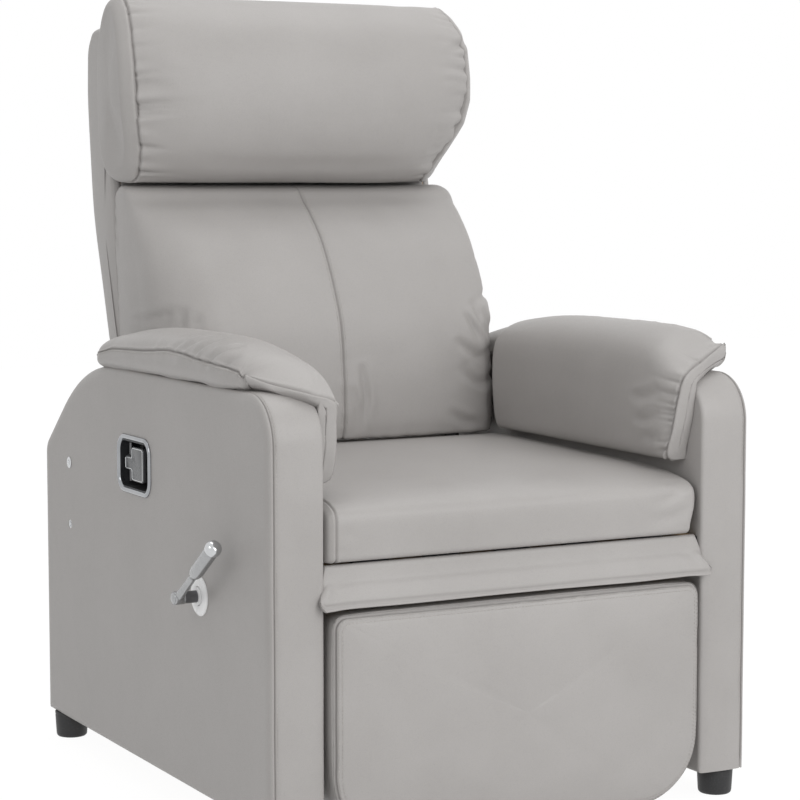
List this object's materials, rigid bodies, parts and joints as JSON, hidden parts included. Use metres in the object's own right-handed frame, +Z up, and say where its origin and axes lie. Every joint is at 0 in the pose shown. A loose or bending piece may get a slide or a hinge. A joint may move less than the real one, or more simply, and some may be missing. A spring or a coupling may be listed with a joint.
{
  "type": "pedicure chair",
  "caption": "Upholstered pedicure armchair with a reclining back, headrest roll, fold-out leg rest, padded arms, recessed pull handle and side lock lever, on short round feet.",
  "frame": {"origin": "on the floor, midway between the side panels and at half their depth", "axes": "+X is the sitter's left, -Y the front, +Z up"},
  "size_m": [0.773, 0.8631, 1.1144],
  "materials": {
    "leather": "smooth grey artificial leather, satin",
    "timber": "planed softwood and plywood",
    "steel": "black painted steel",
    "chrome": "polished chrome",
    "webbing": "woven elastic webbing",
    "black_plastic": "matte black plastic",
    "grey_plastic": "dark grey gloss plastic",
    "white_plastic": "white gloss plastic"
  },
  "bodies": {
    "base": {"side_face_right": "leather", "side_face_left": "leather", "side_band_right": "leather", "side_band_left": "leather", "side_lining_right": "leather", "side_lining_left": "leather", "side_frame_right": "timber", "side_frame_left": "timber", "lower_rail_front": "timber", "lower_rail_rear": "timber", "rail_brackets": "steel", "foot_front_right": "black_plastic", "foot_front_left": "black_plastic", "foot_rear_right": "black_plastic", "foot_rear_left": "black_plastic", "foot_studs": "chrome", "arm_pad_right": "leather", "arm_pad_left": "leather", "seat_rail_front": "timber", "seat_rail_rear": "timber", "seat_rail_right": "timber", "seat_rail_left": "timber", "seat_webbing": "webbing", "seat_cushion": "leather", "mechanism_plates": "steel", "crossbar": "steel", "leg_pivot_pins": "chrome", "hinge_plates": "steel", "hinge_pins": "chrome", "cup_bezel": "chrome", "cup_dish": "black_plastic", "paddle_pin": "chrome", "release_cable": "black_plastic", "latch_housing": "steel", "lever_escutcheon": "white_plastic", "lever_bush": "white_plastic", "tray_inserts": "chrome", "flap_rod": "steel"},
    "backrest": {"back_posts": "timber", "back_rails": "timber", "back_webbing": "webbing", "back_shell": "leather", "hinge_arms": "steel", "crank_tube": "steel", "lumbar_cushion": "leather", "headrest_cushion": "leather"},
    "strut_cylinder": {"strut_cylinder": "steel"},
    "strut_rod": {"strut_rod": "chrome"},
    "legrest_arms": {"leg_swing_arms": "steel"},
    "legrest_links": {"leg_links": "steel"},
    "leg_rest": {"leg_brackets": "steel", "leg_board": "timber", "leg_pad": "leather"},
    "bridge_flap": {"flap_cover": "leather"},
    "pull_paddle": {"pull_paddle": "grey_plastic"},
    "lock_lever": {"lock_shaft": "chrome", "lever_arm": "chrome", "lever_grip": "chrome", "lever_end_cap": "chrome"}
  },
  "joints": [
    {"name": "back_recline", "type": "hinge", "parent": "base", "child": "backrest", "pos_m": [0, 0.2, 0.389], "axis": [-1, 0, 0], "range_deg": [0, 38]},
    {"name": "strut_swing", "type": "hinge", "parent": "base", "child": "strut_cylinder", "pos_m": [0, -0.15, 0.285], "axis": [-1, 0, 0], "range_deg": [-3.3, 0]},
    {"name": "strut_travel", "type": "slide", "parent": "strut_cylinder", "child": "strut_rod", "axis": [0, -0.9966, -0.0826], "range_m": [0, 0.0457]},
    {"name": "leg_lift", "type": "hinge", "parent": "base", "child": "legrest_arms", "pos_m": [0, -0.235, 0.3101], "axis": [-1, 0, 0], "range_deg": [0, 82.5]},
    {"name": "link_fold", "type": "hinge", "parent": "legrest_arms", "child": "legrest_links", "pos_m": [0, -0.19406, 0.13482], "axis": [-1, 0, 0], "range_deg": [-93.4, 0]},
    {"name": "leg_rest_tilt", "type": "hinge", "parent": "legrest_links", "child": "leg_rest", "pos_m": [0, -0.3057, 0.235], "axis": [-1, 0, 0], "range_deg": [0, 94.9]},
    {"name": "flap_swing", "type": "hinge", "parent": "base", "child": "bridge_flap", "pos_m": [0, -0.39, 0.3631], "axis": [-1, 0, 0], "range_deg": [0, 70.3]},
    {"name": "paddle_pull", "type": "hinge", "parent": "base", "child": "pull_paddle", "pos_m": [-0.347, 0.081, 0.4525], "axis": [0, 0, -1], "range_deg": [0, 28], "stiffness_Nm_per_rad": 0.3},
    {"name": "lock_lever_turn", "type": "hinge", "parent": "base", "child": "lock_lever", "pos_m": [0, -0.189, 0.305], "axis": [-1, 0, 0], "range_deg": [0, 50]}
  ],
  "couplings": [
    {"joint": "strut_swing", "follows": "back_recline", "ratio": -0.0832},
    {"joint": "strut_travel", "follows": "back_recline", "m_per_rad": 0.0686},
    {"joint": "link_fold", "follows": "leg_lift", "ratio": -1.1297},
    {"joint": "leg_rest_tilt", "follows": "leg_lift", "ratio": 1.1479},
    {"joint": "flap_swing", "follows": "leg_lift", "ratio": 0.85}
  ]
}
